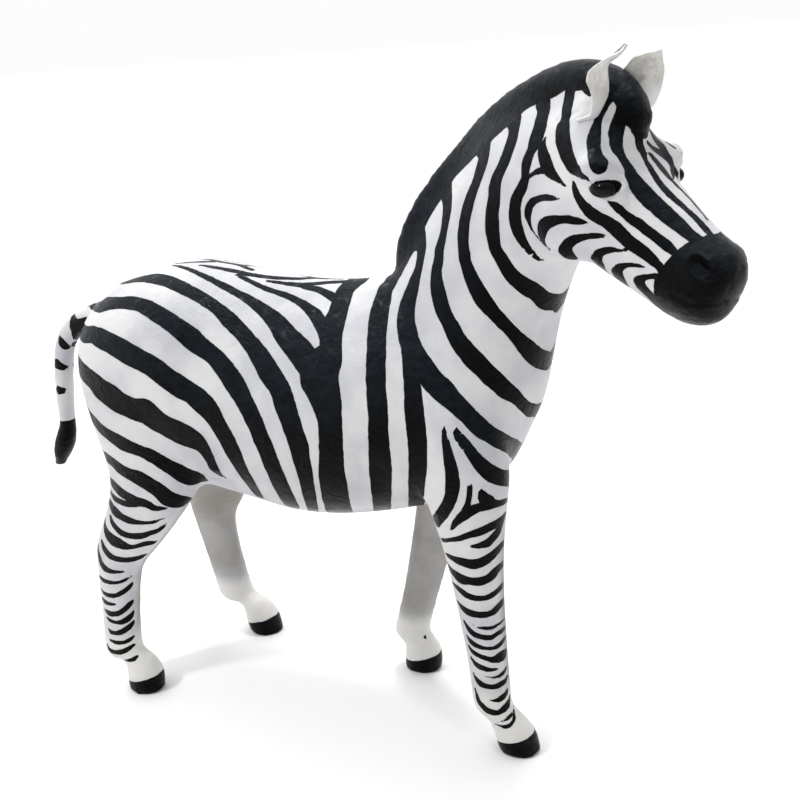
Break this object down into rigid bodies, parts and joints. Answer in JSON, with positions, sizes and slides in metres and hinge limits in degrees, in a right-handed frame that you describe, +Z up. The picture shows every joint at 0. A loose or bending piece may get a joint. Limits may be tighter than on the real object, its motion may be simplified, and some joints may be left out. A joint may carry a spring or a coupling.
{
  "type": "zebra figurine",
  "caption": "Large standing zebra figurine in mid-stride with its head turned to the right, painted leather over a light hollow body, with leather ears and glass eyes.",
  "frame": {"origin": "middle of the figure's box at the level of the soles", "axes": "+X towards the head, +Y to the animal's left, +Z up"},
  "size_m": [1.4606, 0.4222, 1.2159],
  "materials": {
    "painted_hide": "white satin paint with hand-brushed glossy black stripes",
    "ear_leather": "bare pale hide, matt",
    "eye_glass": "opaque black, polished"
  },
  "bodies": {
    "root": {"body": "painted_hide", "left_ear": "ear_leather", "right_ear": "ear_leather", "left_eye": "eye_glass", "right_eye": "eye_glass"}
  },
  "joints": []
}
